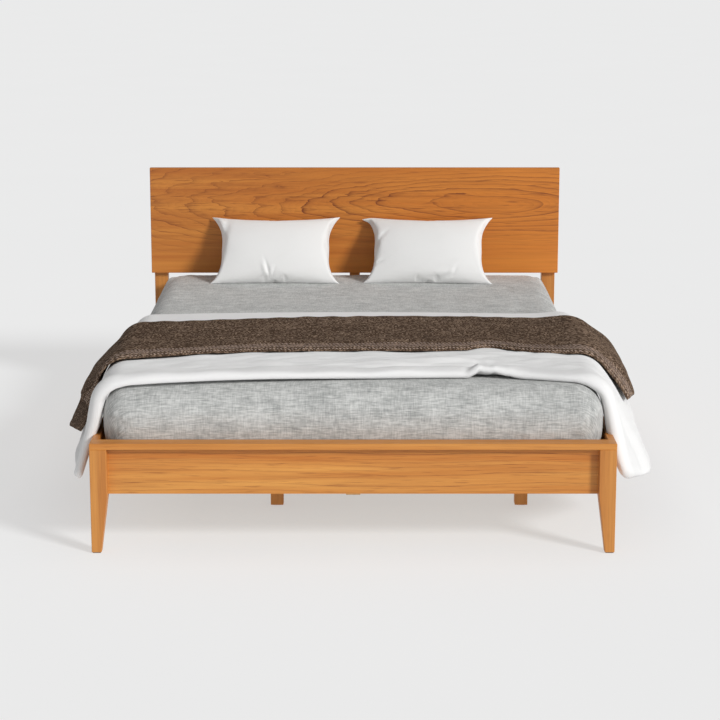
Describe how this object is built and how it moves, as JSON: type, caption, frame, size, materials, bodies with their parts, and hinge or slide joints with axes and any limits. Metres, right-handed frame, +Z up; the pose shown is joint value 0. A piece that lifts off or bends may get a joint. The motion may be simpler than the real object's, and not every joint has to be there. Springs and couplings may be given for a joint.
{
  "type": "platform bed",
  "caption": "Wooden platform bed with a low footboard, tapered legs and a plain panel headboard, made up with mattress, sheet, duvet, throw and pillows.",
  "frame": {"origin": "on the floor under the middle of the bed: the centre of the bottom of its bounding box", "axes": "+Z up, +Y from the foot to the headboard, +X to the right of someone at the foot who looks at the headboard"},
  "size_m": [1.9934, 2.172, 0.935],
  "materials": {
    "frame_wood": "satin oiled, honey cherry",
    "slat_wood": "planed, unfinished softwood",
    "bracket_steel": "black powder coat",
    "bolt_steel": "zinc plated",
    "felt": "pressed felt",
    "mattress_ticking": "knitted ticking",
    "sheet_linen": "heathered grey linen weave",
    "duvet_cotton": "soft white cotton",
    "throw_knit": "dark brown speckled knit",
    "pillow_cotton": "soft white cotton"
  },
  "bodies": {
    "root": {"front_leg_left": "frame_wood", "headboard_post_left": "frame_wood", "side_rail_left": "frame_wood", "slat_ledger_left": "slat_wood", "front_leg_right": "frame_wood", "headboard_post_right": "frame_wood", "side_rail_right": "frame_wood", "slat_ledger_right": "slat_wood", "footboard_panel": "frame_wood", "footboard_cap": "frame_wood", "headboard_panel": "frame_wood", "headboard_strut": "frame_wood", "head_rail": "frame_wood", "cross_beam_front": "slat_wood", "rail_cleat_front": "slat_wood", "support_leg_front_left": "frame_wood", "support_leg_front_right": "frame_wood", "cross_beam_rear": "slat_wood", "rail_cleat_rear": "slat_wood", "support_leg_rear_left": "frame_wood", "support_leg_rear_right": "frame_wood", "centre_rail": "slat_wood", "slat_01": "slat_wood", "slat_02": "slat_wood", "slat_03": "slat_wood", "slat_04": "slat_wood", "slat_05": "slat_wood", "slat_06": "slat_wood", "slat_07": "slat_wood", "slat_08": "slat_wood", "slat_09": "slat_wood", "slat_10": "slat_wood", "slat_11": "slat_wood", "slat_12": "slat_wood", "slat_13": "slat_wood", "corner_brackets": "bracket_steel", "leg_bolts": "bolt_steel", "felt_pads": "felt", "mattress": "mattress_ticking", "fitted_sheet": "sheet_linen", "duvet": "duvet_cotton", "throw": "throw_knit", "pillow_left": "pillow_cotton", "pillow_right": "pillow_cotton"}
  },
  "joints": []
}
